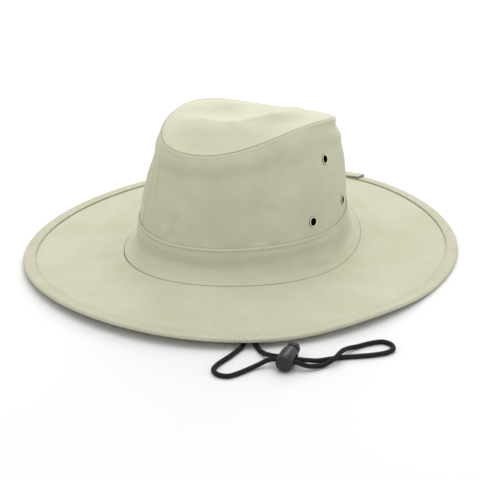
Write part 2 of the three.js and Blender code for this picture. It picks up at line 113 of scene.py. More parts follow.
# Soft creases pressed into the cloth. A row is one fold: where its middle lies (the angle round
# the hat, and the share up the wall, in from the tip's middle or down the band), how far it
# reaches either way (degrees and share), how much it leans and how far it stands out.
WALL_FOLDS = named(
    "angle at wide tall lean out",
    (229, 0.42, 2.6, 0.34, 4, 1.4),
    (235, 0.36, 2.2, 0.30, 3, -1.3),
    (240.5, 0.34, 2.2, 0.36, -2, 1.5),
    (245, 0.40, 1.8, 0.24, -3, -1.2),
    (249.5, 0.55, 2.4, 0.30, -4, 0.8),
    (254, 0.64, 2.8, 0.26, -6, -0.8),
    (262, 0.42, 4.0, 0.14, 12, 0.4),
    (267.5, 0.11, 2.8, 0.09, 16, 0.9),
    (273.5, 0.09, 2.6, 0.08, 10, -0.8),
    (273.5, 0.24, 3.0, 0.05, 30, -0.8),
    (277, 0.51, 3.0, 0.06, 20, -0.7),
    (284, 0.62, 8, 0.10, -25, 0.5),
    (303, 0.50, 9, 0.12, 40, -0.5),
    (323, 0.10, 3.4, 0.16, 6, -1.1),
    (332, 0.15, 4.2, 0.15, 8, 0.8),
    (326, 0.35, 6, 0.09, -40, -0.8),
    (338, 0.44, 9, 0.10, 60, 0.6),
    (344.5, 0.69, 5, 0.05, 50, -1.0),
    (351, 0.79, 7, 0.06, 50, 0.7),
    (9.5, 0.92, 8, 0.05, 30, -0.8),
    (26, 0.91, 9, 0.05, -20, -1.5),
    (46, 0.90, 10, 0.05, -30, -2.8),
    (38, 0.79, 14, 0.06, -25, 0.9),
    (45, 0.55, 12, 0.16, 20, 0.6),
    (80, 0.52, 16, 0.12, -35, 0.7),
    (95, 0.35, 12, 0.16, -40, -0.8),
    (118, 0.70, 9, 0.10, 45, -0.7),
    (140, 0.45, 14, 0.14, 40, -0.8),
    (150, 0.62, 16, 0.12, 50, 0.7),
    (188, 0.55, 12, 0.14, 35, -0.7),
    (205, 0.30, 6, 0.20, 15, 0.7),
)
SEWN_STILL = 0.05  # the share of the wall at each seam over which its folds die out
# The wall is eased into the band in short gathers over this stretch of the seam.
GATHERS = {
    "angle": 241, "half_span": 20, "pitch": 3.1, "height": 0.15, "out": 0.85, "lean": 9, "free": 0.02,
}
BAND_FOLDS = named(
    "angle at wide tall lean out",
    (243, 0.40, 12, 0.14, 0, -1.0),
    (262, 0.56, 3.5, 0.16, 5, 0.6),
    (271, 0.33, 14, 0.13, 0, -1.0),
    (297, 0.38, 16, 0.14, 0, -1.0),
    (318, 0.58, 5, 0.18, 18, 0.5),
    (325, 0.30, 10, 0.12, 0, -0.7),
    (350, 0.24, 12, 0.12, 0, -0.9),
    (359, 0.55, 5, 0.16, 25, 0.7),
    (10, 0.34, 10, 0.14, 0, -0.9),
    (30, 0.52, 11, 0.16, 0, -1.2),
    (75, 0.42, 16, 0.16, 0, -0.8),
    (120, 0.5, 30, 0.18, 0, -0.8),
    (165, 0.6, 7, 0.18, -15, 0.6),
    (195, 0.42, 24, 0.16, 0, -0.9),
)
# Creases on the tip: from one place to another (millimetres), how wide and how high.
TIP_CREASES = named(
    "from to wide out",
    ((-30, -42), (-12, -39), 5.0, 0.6),
    ((-12, -39), (14, -31), 4.6, 1.2),
    ((14, -31), (22, -17), 4.2, 1.4),
    ((22, -17), (30, -2), 4.4, 1.5),
    ((30, -2), (37, 30), 4.4, 1.2),
    ((30, -6), (48, 44), 3.6, 0.7),
    ((4, -54), (26, -45), 7.0, -1.2),
    ((33, -26), (44, 6), 5.0, -0.8),
    ((16, 2), (22, 34), 5.5, -1.0),
    ((21, -41), (26, -37), 2.2, -0.6),
    ((30, -40), (34, -36), 2.0, -0.5),
    ((36, -44), (40, -40), 2.2, -0.5),
    ((-40, -14), (-34, -2), 4.0, 0.6),
    ((-28, 6), (-24, 30), 5.0, -0.7),
)
# Washed cloth lies a little uneven: soft swells and hollows about a size apart. On the brim they
# end at a share of its depth, and are quiet for a share at both sides.
BRIM_SWELLS = {"size": 34, "height": 0.35, "until": 1.02, "quiet": 0.2}
WALL_SWELLS = {"size": 27, "height": 0.42}
TIP_SWELLS = {"size": 21, "height": 0.32}
# The band curves from its top seam to its foot by two guide points, at these shares of its reach
# and of its drop.
BAND_CURVE = {"below_reach": 0.04, "below_drop": 0.78, "beside_reach": 0.3, "beside_rise": 0.13}
# An edge rolled into its seam: how far the cloth swells out beside it, where and how broadly, and
# how far and how broadly the stitches pull it in.
SIDE_ROLL = {"out": 0.34, "at": 1.5, "wide": 1.3, "pinch": 0.55, "tight": 0.6}
TIP_ROLL = {"out": 0.22, "at": 2.2, "wide": 1.8, "pinch": 0.6, "tight": 0.7}
PAINTED_SEAM_SHADE = {"dark": 0.42, "half_width": 0.8}  # the painted shade between the two
# The tip is painted a little paler, partly as wear and partly as painted light, except towards its
# seam over this front stretch, which is left darker as painted shade.
TIP_PALE_WEAR_AND_LIGHT = 0.5
TIP_SHADED_FRONT = {"angle": 295, "half_span": 110, "from": 0.5, "over": 0.22}
# The band's folded top edge: drawn in to the wall, a thin lip, and a stitched groove under it.
BAND_EDGE = {
    "drawn_in": 0.85, "over": 4.0, "lip": 0.14, "rise": 0.3, "full": 0.35, "wide": 0.8,
    "stitched": 1.05, "pinch": 0.2, "pinch_wide": 0.8, "still": 0.08,
}
# Where a seam's painted shade shows: its middle angle, its reach, and how far it fades beyond and to what.
SEAM_FADE = (290, 40, 42, 0.05)
RIBBON_FADE = (127, 72, 28, 0.15)
# The brim's half thickness at each distance in, from the ribbon's press to the full cloth.
PRESS = [(1.3, 0.6), (5, 0.6), (9.9, 0.6), (10.5, 0.62), (11.2, 0.8), (12.2, 0.88), (13.5, 0.9)]
# The brim swells up before the band's seam and drops into it. The steps give the place on the
# brim's depth and the height of each row of the drop, which closes towards the hat's sides.
GROOVE = {
    "before": 1.7, "swell": 1.55, "from": 0.82, "closes": 0.55,
    "steps": ((-1.3, 1.5), (-1.14, 1.2), (-1.04, 0.6), (-0.94, 0.1)),
}
# Each leg of the ribbon: a distance in from the edge, and how much nearer the brim it lies there.
RIBBON_LEG = [
    (RIBBON_WIDTH, 0.5), (RIBBON_WIDTH - 0.3, 0.12), (9.2, 0.02), (RIBBON_STITCH, 0.16), (7.4, 0), (5, 0),
]
# The ribbon's fold: round above, and drawn under below, so that a thin shadow lies along the surface.
RIBBON_FOLD = {"round": 1.5, "under": 3.0, "rise": 1.7, "turns": 7}
RIBBON_HALF = BRIM_PRESSED / 2 + GAP + RIBBON  # from the brim's middle to the ribbon's face
RIBBON_GIRTH = 45  # the length of its section all round
RIBBON_BED = 0.55  # how much closer the legs' inner faces lie at their edges
STITCH = {"length": 2.5, "gap": 1.0, "thick": 0.5, "lean": 0.05, "sunk": 0.1}

CORD_DIAMETER = 3.8
# The cord's middle, listed point by point: down from the right tab, under the brim, round the small
# loop, through the lock, round the end loop, back through the lock and up to the left tab.
CORD_ROUTE = [
    (-78.9, 0, 13.3), (-76.5, -1.7, 4.9), (-70.8, -5.8, 1.95), (104, -128.4, 1.95),
    (118, -141.9, 1.95), (121.5, -158.4, 1.95), (123.3, -178.1, 1.95), (126.1, -184.8, 1.95),
    (132.8, -187.6, 1.95), (139.5, -184.8, 1.95), (142.3, -178.1, 1.95), (146.5, -160.4, 2.8),
    (151.3, -153.2, 5.9), (156.4, -150.1, 6.7), (168.6, -145.2, 6.7), (176.5, -139.7, 4),
    (182, -129.4, 2.4), (185, -119.9, 4.9), (184, -110.9, 6), (182, -100.9, 3.7),
    (184.5, -89.4, 1.95), (190.2, -76.8, 1.95), (194.9, -71.8, 1.95), (201.8, -71.8, 1.95),
    (206.4, -76.8, 1.95), (206.1, -83.3, 1.95), (201, -92.4, 1.95), (184, -112.4, 1.95),
    (175.2, -126.4, 2.3), (172, -135.7, 5.4), (166.9, -141.1, 6.7), (154.6, -146.1, 6.7),
    (147, -146.4, 5.2), (139, -143.6, 2.8), (130, -139.4, 1.95), (114, -125.4, 1.95),
    (77, -39.4, 1.95), (78.9, -10, 1.95), (78.9, -2.9, 4.9), (78.9, 0, 13.3),
]

LOCK = {"at": (161.5, -145.7, 6.8), "turn": 22}


# ---------------------------------------------------------------- small tools
def colour(hex_value):
    """A linear colour from an sRGB one such as 0xcfcdb5."""
    channels = [(hex_value >> shift & 255) / 255 for shift in (16, 8, 0)]
    linear = [c / 12.92 if c <= 0.04045 else ((c + 0.055) / 1.055) ** 2.4 for c in channels]
    return (*linear, 1.0)


def unit(vectors):
    return vectors / np.linalg.norm(vectors, axis=-1, keepdims=True)


def bump(offset, half_span):
    """1 in the middle of a span, falling smoothly to 0 at its ends."""
    share = np.minimum(np.abs(offset) / half_span, 1)
    return np.cos(share * math.pi / 2) ** 2


def ease(value):
    """From 0 to 1, smoothly, as a value goes from 0 to 1."""
    t = np.clip(value, 0, 1)
    return t * t * (3 - 2 * t)


def turn_between(a, b):
    return (a - b + 180) % 360 - 180


def stretch(angle, span):
    """1 at a span's middle angle, falling smoothly to 0 at its ends."""
    return bump(turn_between(angle, span["angle"]), span["half_span"])


def round_hat(name, angle, share=1.0):
    """A height or reach from ROUND at an angle, as a sum of waves that fade towards the middle."""
    values = np.array(ROUND[name], float)
    count = len(values)
    t = np.radians(angle)
    total = 0
    for k in range(count // 2 + 1):
        weight = (1 if k in (0, count // 2) else 2) / count
        stations = 2 * math.pi * k * np.arange(count) / count
        cosine = weight * (values * np.cos(stations)).sum()
        sine = weight * (values * np.sin(stations)).sum()
        total = total + share**k * (cosine * np.cos(k * t) + sine * np.sin(k * t))
    return total


def points(x, y, z):
    x, y, z = np.broadcast_arrays(x, y, z)
    return np.stack([x, y, z], axis=-1).astype(float)


def seam_point(name, angle, inward=0.0):
    seam = SEAMS[name]
    t = np.radians(angle)
    x = (seam["half_width"] - inward) * np.cos(t)
    y = (seam["half_length"] - inward) * np.sin(t) + seam["back"]
    return points(x, y, round_hat(name, angle))


def outwards(oval, angle):
    t = np.radians(angle)
    return unit(points(np.cos(t) / oval["half_width"], np.sin(t) / oval["half_length"], 0))


# ---------------------------------------------------------------- the hat's forms
def folds(table, angle, at):
    """How far the folds of a table stand out at a place."""
    out = 0
    for fold in table:
        up = (at - fold["at"]) / fold["tall"]
        side = (turn_between(angle, fold["angle"]) - fold["lean"] * (at - fold["at"])) / fold["wide"]
        out = out + fold["out"] * np.exp(-(up**2) - side**2)
    return out


def uneven(x, y, size):
    """A gentle unevenness between -1 and 1, with swells about a size apart."""
    k = 2 * math.pi / size
    first = np.sin(k * (0.61 * x + 0.42 * y) + 1.3 * np.sin(k * 0.31 * y))
    second = np.sin(k * (-0.37 * x + 0.73 * y) + 1.1 * np.sin(k * 0.27 * x + 2))
    third = np.sin(k * 1.7 * (0.5 * x - 0.6 * y) + 0.7)
    return (first + second + 0.5 * third) / 2.5


def wall_point(angle, up):
    """The wall's outer face, from the band seam at 0 to the tip seam at 1."""
    foot = seam_point("band", angle, CLOTH + GAP)
    top = seam_point("tip", angle)
    up = np.asarray(up)
    place = foot + (top - foot) * up[..., None]
    x, y, z = np.moveaxis(place, -1, 0)
    out = round_hat("swell", angle) * np.sin(math.pi * np.maximum(up, 0))
    out = out + round_hat("shoulder", angle) * bump(up - SHOULDER_AT, SHOULDER_SPAN)
    still = ease(up / SEWN_STILL) * ease((1 - up) / SEWN_STILL)
    swell = WALL_SWELLS["height"] * uneven(x + 0.9 * z, y - 0.7 * z, WALL_SWELLS["size"])
    out = out + (folds(WALL_FOLDS, angle, up) + swell) * still
    over = stretch(angle, GATHERS)
    fade = np.exp(-((up / GATHERS["height"]) ** 2))
    ripple = np.sin(2 * math.pi * angle / GATHERS["pitch"] + GATHERS["lean"] * up)
    out = out + GATHERS["out"] * ripple * over * fade * ease(up / GATHERS["free"])
    return place + outwards(SEAMS["band"], angle) * np.asarray(out)[..., None]


def tip_form(x, y):
    height = 0
    for form in TIP_FORMS:
        c, s = math.cos(math.radians(form["turn"])), math.sin(math.radians(form["turn"]))
        along = ((x - form["x"]) * c + (y - form["y"]) * s) / form["along"]
        across = (-(x - form["x"]) * s + (y - form["y"]) * c) / form["across"]
        height = height + form["height"] * np.exp(-(along**2) - across**2)
    return height


def tip_creases(x, y):
    height = 0
    for crease in TIP_CREASES:
        (x0, y0), (x1, y1) = crease["from"], crease["to"]
        length = math.hypot(x1 - x0, y1 - y0)
        c, s = (x1 - x0) / length, (y1 - y0) / length
        along = (x - x0) * c + (y - y0) * s
        across = (y - y0) * c - (x - x0) * s
        past = np.maximum(np.maximum(-along, along - length), 0)
        reach = np.hypot(past / 1.6, across) / crease["wide"]
        height = height + crease["out"] * np.exp(-(reach**2))
    return height


def tip_point(angle, share):
    """The tip's outer face, from its middle at 0 to its seam at 1."""
    seam = SEAMS["tip"]
    t = np.radians(angle)
    x = share * seam["half_width"] * np.cos(t)
    y = share * seam["half_length"] * np.sin(t) + seam["back"]
    rim = 1 - np.maximum(share, 0) ** 4
    height = tip_form(x, y) + tip_creases(x, y) + TIP_SWELLS["height"] * uneven(x, y, TIP_SWELLS["size"])
    return points(x, y, round_hat("tip", angle, share) + rim * height)


def square_to(surface, angle, at, step):
    """The direction out of a surface whose points are surface(angle, at), at rising upwards."""
    around = surface(angle + 0.5, at) - surface(angle - 0.5, at)
    rising = surface(angle, at + step) - surface(angle, at - step)
    return unit(np.cross(around, rising))


def band_point(angle, down):
    top = seam_point("band", angle)
    foot = seam_point("flare", angle)
    drop = (top - foot)[..., 2]
    reach = (foot - top) * (1, 1, 0)
    below = top + reach * BAND_CURVE["below_reach"] - points(0, 0, BAND_CURVE["below_drop"] * drop)
    beside = top + reach * BAND_CURVE["beside_reach"]
    beside[..., 2] = foot[..., 2] + BAND_CURVE["beside_rise"] * drop
    t = np.asarray(down)[..., None]
    return (1 - t) ** 3 * top + 3 * (1 - t) ** 2 * t * below + 3 * (1 - t) * t**2 * beside + t**3 * foot


def band_drop(angle):
    return np.linalg.norm(seam_point("band", angle) - seam_point("flare", angle), axis=-1)


def edge_point(angle):
    z = RIBBON_HALF
    for wave in EDGE_WAVES:
        z = z + wave["lift"] * stretch(angle, wave)
    t = np.radians(angle)
    fuller = 1 - EDGE["fullness"] * np.cos(4 * t)
    x = EDGE["half_width"] * fuller * np.cos(t)
    y = EDGE["half_length"] * fuller * np.sin(t) + EDGE["back"]
    return points(x, y, z)


def brim_depth(angle):
    return np.linalg.norm((seam_point("flare", angle) - edge_point(angle)) * (1, 1, 0), axis=-1)


def brim_point(angle, inset):
    """The brim's middle sheet, a distance in from its edge."""
    edge = edge_point(angle)
    foot = seam_point("flare", angle)
    foot[..., 2] -= CLOTH + GAP + BRIM_CLOTH / 2
    share = inset / brim_depth(angle)
    point = edge + (foot - edge) * np.asarray(share)[..., None]
    rise = np.minimum(np.maximum(share, 0) ** BRIM_RISE, 1)
    point[..., 2] = edge[..., 2] + (foot - edge)[..., 2] * rise
    return point


# ---------------------------------------------------------------- mesh tools
MEETING = 0.002 * MM  # points closer than this are one
CLOTH_CREASE = 50  # degrees between faces past which a fold shows as an edge


def only(piece):
    bpy.ops.object.select_all(action="DESELECT")
    piece.select_set(True)
    bpy.context.view_layer.objects.active = piece


def in_edit_mode(piece, *steps):
    """Runs mesh operators on all of a piece. A step is an operator and its settings."""
    only(piece)
    bpy.ops.object.mode_set(mode="EDIT")
    bpy.ops.mesh.select_all(action="SELECT")
    for operator, settings in steps:
        operator(**settings)
    bpy.ops.object.mode_set(mode="OBJECT")


def co(piece):
    flat = np.empty(len(piece.data.vertices) * 3)
    piece.data.vertices.foreach_get("co", flat)
    return flat.reshape(-1, 3)


def set_co(piece, coordinates):
    piece.data.vertices.foreach_set("co", np.asarray(coordinates, float).ravel())
    piece.data.update()


def start(name, primitive, **settings):
    """Adds a primitive with nothing else selected, and names it."""
    bpy.ops.object.select_all(action="DESELECT")
    primitive(**settings)
    piece = bpy.context.active_object
    piece.name = piece.data.name = name
    return piece


def apply(piece, kind, name, **settings):
    """Gives a piece a modifier with its settings, and applies it."""
    only(piece)
    modifier = piece.modifiers.new(name, kind)
    for key, value in settings.items():
        setattr(modifier, key, value)
    bpy.ops.object.modifier_apply(modifier=modifier.name)


def cut_out(piece, tool, name):
    """Cuts a tool's shape out of a piece."""
    apply(piece, "BOOLEAN", name, object=tool, operation="DIFFERENCE", solver="EXACT")
    bpy.data.objects.remove(tool)


def smooth(degrees):
    bpy.ops.object.shade_smooth_by_angle(angle=math.radians(degrees))


def grid(name, columns, rows):
    """A flat primitive grid, and the column and the row of each of its vertices."""
    piece = start(name, bpy.ops.mesh.primitive_grid_add, x_subdivisions=columns, y_subdivisions=rows, size=1)
    column, row = np.rint((co(piece)[:, :2] + 0.5) * (columns, rows)).astype(int).T
    return piece, column, row


def sew(piece, closed=True):
    """Joins edges that meet, closes open ends, and turns the faces outwards."""
    steps = [(bpy.ops.mesh.remove_doubles, {"threshold": MEETING})]
    if not closed:
        steps.append((bpy.ops.mesh.fill_holes, {"sides": 0}))
    steps.append((bpy.ops.mesh.normals_make_consistent, {"inside": False}))
    in_edit_mode(piece, *steps)
    only(piece)
    smooth(CLOTH_CREASE)
    return piece


def lay_out(piece, width, depths):
    """Lays a piece's faces out on the flat cut of the cloth, in metres.

    Its columns spread evenly over the width, and its rows lie at the depths.
    """
    layer = piece.data.uv_layers[0]
    layer.name = "cut"
    shares = np.empty(len(layer.data) * 2)
    layer.data.foreach_get("uv", shares)
    u, v = shares.reshape(-1, 2).T
    place = np.stack([u * width, np.interp(v, np.linspace(0, 1, len(depths)), depths)], axis=-1)
    layer.data.foreach_set("uv", (place * MM).ravel())


def flat_cut(piece):
    """Cuts a piece from flat cloth: its plan is its pattern, in metres."""
    loops = np.empty(len(piece.data.loops), int)
    piece.data.loops.foreach_get("vertex_index", loops)
    layer = piece.data.uv_layers[0]
    layer.name = "cut"
    layer.data.foreach_set("uv", co(piece)[loops, :2].ravel())


def thicken(piece, thickness):
    """Gives a sheet its thickness, inwards."""
    apply(piece, "SOLIDIFY", "thickness", thickness=thickness * MM, offset=-1)
    smooth(CLOTH_CREASE)


def set_mark(piece, name, values):
    """Stores a value at each vertex for the material to read."""
    attribute = piece.data.attributes.new(name, "FLOAT", "POINT")
    attribute.data.foreach_set("value", np.asarray(values, float))


def finished(piece, material, body=HAT, nodes=()):
    piece.data.materials.clear()
    piece.data.materials.append(material)
    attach(piece, body)
    if nodes:
        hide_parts(*nodes)
    return piece


def half_round(a, b, out, count):
    """A hem from a to b: count points on a half circle that bulges towards out."""
    turns = np.linspace(0, math.pi, count + 2)[1:-1]
    middle, arm = (a + b) / 2, (a - b) / 2
    reach = unit(out) * np.linalg.norm(arm, axis=-1, keepdims=True)
    return [middle + arm * math.cos(t) + reach * math.sin(t) for t in turns]


def hemmed(outer, inner, hem=5):
    """A closed cloth section from two lists of points, with a round hem at both ends."""
    first = half_round(inner[0], outer[0], outer[0] - outer[1], hem)
    last = half_round(outer[-1], inner[-1], outer[-1] - outer[-2], hem)
    return outer + last + inner[::-1] + first


def tube(name, loops):
    """A mesh through loops of points, and the loop and the point of each of its vertices."""
    loops = np.concatenate([loops, loops[:, :1]], axis=1)
    piece, i, j = grid(name, len(loops) - 1, loops.shape[1] - 1)
    set_co(piece, loops[i, j] * MM)
    return piece, i, j


def ring(name, section, columns):
    """A closed cloth ring: section(angle) gives its loop of points, all round."""
    loops = np.stack(section(np.linspace(0, 360, columns + 1)), axis=1)
    piece, i, j = tube(name, loops)
    girth = np.linalg.norm(np.diff(loops[:, 0], axis=0), axis=1).sum()
    steps = np.linalg.norm(np.diff(loops, axis=1, append=loops[:, :1]), axis=2).mean(axis=0)
    lay_out(piece, girth, [0, *np.cumsum(steps)])
    return piece, i, j


# ---------------------------------------------------------------- materials
# The cloth's tones: dye colours, a paler tone painted on raised edges (partly wear, partly painted
# highlight) and a dark tone painted into seams and grooves as shade.
CANVAS = {
    "base": 0xC0BEA6, "greenish": 0xBDBCA2, "pinkish": 0xC4C1AB, "worn": 0xD4D2BC, "painted_shade": 0x55523F,
}
# A wave texture's scale for ribs a metre apart, by the way they run over the cut.
WAVE = {"DIAGONAL": 0.444, "X": 0.314}


def wire(tree, node, links):
    for socket, source in dict(links).items():
        tree.links.new(source, node.inputs[socket])


def add_node(tree, kind, links=(), **settings):
    """Adds a node with its links.

    inputs holds its sockets' values and stops the places and colours of its ramp. Any other
    setting is a property of the node.
    """
    made = tree.nodes.new("ShaderNode" + kind)
    for socket, value in settings.pop("inputs", {}).items():
        made.inputs[socket].default_value = value
    for n, (position, hex_value) in enumerate(settings.pop("stops", ())):
        stops = made.color_ramp.elements
        stop = stops[n] if n < len(stops) else stops.new(position)
        stop.position, stop.color = position, colour(hex_value)
    for name, value in settings.items():
        setattr(made, name, value)
    wire(tree, made, links)
    return made


def spaced(size):
    """A noise texture's scale for marks about a size apart, in millimetres."""
    return 1 / (size * MM)


def new_material(name, values):
    """A new material, its tree and its shader, with values in the shader's sockets."""
    material = bpy.data.materials.new(name)
    material.use_nodes = True
    tree = material.node_tree
    shader = tree.nodes["Principled BSDF"]
    for socket, value in values.items():
        shader.inputs[socket].default_value = value
    return material, tree, shader


def canvas_material(name, rib, pitch, contrast, depth):
    """Stone-washed cotton twill: matt, softly mottled, finely ribbed, with painted shade in its seams.

    The washed-out dye leaves broad greenish and pinkish clouds. Folds and edges that stand out are
    painted a little lighter, partly as wear and partly as painted highlight. rib is the way the ribs
    run on the flat cut, pitch their spacing, contrast how much they darken the cloth and depth how
    strongly their relief shows.
    """
    material, tree, shader = new_material(
        name, {"Roughness": 0.92, "Sheen Weight": 0.2, "Sheen Roughness": 0.5, "Specular IOR Level": 0.2},
    )
    cut = add_node(tree, "UVMap", uv_map="cut").outputs["UV"]
    place = add_node(tree, "TexCoord").outputs["Object"]
    ribs = add_node(
        tree, "TexWave", {"Vector": cut}, bands_direction=rib,
        inputs={"Scale": WAVE[rib] / (pitch * MM), "Distortion": 1.5, "Detail": 2.0, "Detail Scale": 1.2},
    ).outputs["Fac"]
    slubs, clouds, wear = (
        add_node(
            tree, "TexNoise", {"Vector": vector},
            inputs={"Scale": spaced(size), "Detail": detail, "Roughness": roughness},
        ).outputs["Fac"]
        for vector, size, detail, roughness in (
            (cut, 1.923, 3, 0.75), (place, 41.67, 3, 0.5), (place, 11.765, 4, 0.6),
        )
    )
    dye = add_node(
        tree, "ValToRGB", {"Fac": clouds},
        stops=[(0.36, CANVAS["greenish"]), (0.5, CANVAS["base"]), (0.66, CANVAS["pinkish"])],
    ).outputs["Color"]
    woven = add_node(tree, "Math", {0: ribs, 1: slubs}, operation="ADD").outputs[0]
    shade, faded = (
        add_node(
            tree, "MapRange", {"Value": value},
            inputs={"From Min": low, "From Max": high, "To Min": dark, "To Max": light},
        ).outputs[0]
        for value, low, high, dark, light in (
            (woven, 0.3, 1.7, 1 - contrast, 1 + 0.6 * contrast), (wear, 0.3, 0.7, 0.975, 1.025),
        )
    )
    light = add_node(tree, "Math", {0: shade, 1: faded}, operation="MULTIPLY").outputs[0]
    cloth = add_node(
        tree, "Mix", {6: dye, 7: light}, data_type="RGBA", blend_type="MULTIPLY", inputs={0: 1.0},
    ).outputs[2]
    # Two painted marks: raised edges lighter, partly wear and partly painted highlight, and seams and
    # grooves darker as painted shade.
    for mark, tone in (("worn", "worn"), ("seam", "painted_shade")):
        share = add_node(tree, "Attribute", attribute_name=mark).outputs["Fac"]
        cloth = add_node(
            tree, "Mix", {0: share, 6: cloth}, data_type="RGBA", inputs={7: colour(CANVAS[tone])},
        ).outputs[2]
    relief = add_node(
        tree, "Bump", {"Height": woven}, inputs={"Strength": depth, "Distance": 0.15 * MM},
    ).outputs["Normal"]
    wire(tree, shader, {"Base Color": cloth, "Normal": relief})
    return material


def thread_material():
    """Cotton thread, two-ply: a little paler than the cloth, with a twist along each stitch."""
    material, tree, shader = new_material("cotton_sewing_thread", {"Roughness": 0.8})
    place = add_node(tree, "TexCoord").outputs["Object"]
    twist = add_node(
        tree, "TexNoise", {"Vector": place}, inputs={"Scale": spaced(0.7143), "Detail": 1.0},
    ).outputs["Fac"]
    tone = add_node(tree, "ValToRGB", {"Fac": twist}, stops=[(0, 0xB4B29B), (1, 0xDEDCC8)])
    wire(tree, shader, {"Base Color": tone.outputs["Color"]})
    return material


def brass_material():
    """Antiqued brass, pressed from sheet: dark in the hollows, rubbed bright on the rim."""
    material, tree, shader = new_material("antiqued_pressed_brass", {"Metallic": 1.0})
    place = add_node(tree, "TexCoord").outputs["Object"]
    patina = add_node(
        tree, "TexNoise", {"Vector": place},
        inputs={"Scale": spaced(1.111), "Detail": 4.0, "Roughness": 0.6},
    ).outputs["Fac"]
    tone = add_node(
        tree, "ValToRGB", {"Fac": patina}, stops=[(0.35, 0x1E1A12), (0.65, 0x5A4E33)],
    ).outputs["Color"]
    worn = add_node(tree, "Attribute", attribute_name="worn").outputs["Fac"]
    polished = add_node(
        tree, "Mix", {0: worn, 6: tone}, data_type="RGBA", inputs={7: colour(0xEADFC2)},
    ).outputs[2]
    rough = add_node(tree, "MapRange", {"Value": patina}, inputs={"To Min": 0.25, "To Max": 0.5}).outputs[0]
    wire(tree, shader, {"Base Color": polished, "Roughness": rough})
    return material


def braid_material():
    """Braided polyester cord, dyed black, with painted highlights on the strands' crests and painted shade
    between them.
    """
    material, tree, shader = new_material(
        "braided_polyester", {"Roughness": 0.55, "Specular IOR Level": 0.16},
    )
    height = add_node(tree, "Attribute", attribute_name="strand_painted_light").outputs["Fac"]
    tone = add_node(tree, "ValToRGB", {"Fac": height}, stops=[(0.45, 0x010101), (0.95, 0x38383B)])
    wire(tree, shader, {"Base Color": tone.outputs["Color"]})
    return material


def plastic_material():
    """Moulded acetal, black: smooth with a satin gloss and faint mould grain."""
    material, tree, shader = new_material("moulded_acetal", {"IOR": 1.48})
    place = add_node(tree, "TexCoord").outputs["Object"]
    grain = add_node(
        tree, "TexNoise", {"Vector": place}, inputs={"Scale": spaced(0.6667), "Detail": 2.0},
    ).outputs["Fac"]
    tone = add_node(tree, "ValToRGB", {"Fac": grain}, stops=[(0, 0x0B0B0C), (1, 0x171718)])
    rough = add_node(tree, "MapRange", {"Value": grain}, inputs={"To Min": 0.28, "To Max": 0.4}).outputs[0]
    relief = add_node(
        tree, "Bump", {"Height": grain}, inputs={"Strength": 0.1, "Distance": 0.05 * MM},
    ).outputs["Normal"]
    wire(tree, shader, {"Base Color": tone.outputs["Color"], "Roughness": rough, "Normal": relief})
    return material


# ---------------------------------------------------------------- stage
# The camera and the lights are placed in metres.
CAMERA = {
    "azimuth": 40, "elevation": 23.5, "distance": 1.1, "aim": (-0.00383, -0.00061, 0.0049), "lens": 94.65,
}
# Soft light from above, and a stronger one from behind the hat's right side.
LIGHTS = named(
    "name at size power",
    ("overhead_softbox", (0.05, 0.1, 1.4), 1.3, 7.5),
    ("back_softbox", (-0.9, 1.3, 1.0), 1.0, 11.0),
)


def make_camera():
    a, e = math.radians(CAMERA["azimuth"]), math.radians(CAMERA["elevation"])
    back = Vector((math.sin(a) * math.cos(e), -math.cos(a) * math.cos(e), math.sin(e)))
    data = bpy.data.cameras.new("camera")
    data.lens = CAMERA["lens"]
    data.sensor_width = 36
    camera = bpy.data.objects.new("camera", data)
    camera.location = Vector(CAMERA["aim"]) + back * CAMERA["distance"]
    camera.rotation_euler = (-back).to_track_quat("-Z", "Y").to_euler()
    bpy.context.collection.objects.link(camera)
    bpy.context.scene.camera = camera


def make_stage():
    """A plain pale floor under a white surround and two soft lights."""
    floor = start("studio_floor", bpy.ops.mesh.primitive_plane_add, size=12)
    paper = {"Base Color": colour(0xEAEAEA), "Roughness": 0.9, "Specular IOR Level": 0.1}
    floor.data.materials.append(new_material("matt_studio_paper", paper)[0])

    world = bpy.data.worlds.new("studio")
    world.use_nodes = True
    surround = world.node_tree.nodes["Background"]
    surround.inputs["Color"].default_value = colour(0xFFFFFF)
    surround.inputs["Strength"].default_value = 0.84
    bpy.context.scene.world = world
    bpy.context.scene.view_settings.view_transform = "Standard"

    for row in LIGHTS:
        light = bpy.data.lights.new(row["name"], "AREA")
        light.size = row["size"]
        light.energy = row["power"]
        lamp = bpy.data.objects.new(row["name"], light)
        lamp.location = row["at"]
        lamp.rotation_euler = (-Vector(row["at"])).to_track_quat("-Z", "Y").to_euler()
        bpy.context.collection.objects.link(lamp)


# ---------------------------------------------------------------- chin cord
# The real strands, under a millimetre wide, are too fine to show, so fewer and broader ones are
# drawn: how many go each way, how far along one lies beside the next, and how high they stand.
BRAID = {"strands": 6, "lay": 1.15, "relief": 0.42, "step": 0.3, "rows": 32}
CORD_REST = 0.02  # how far the cord clears the surface


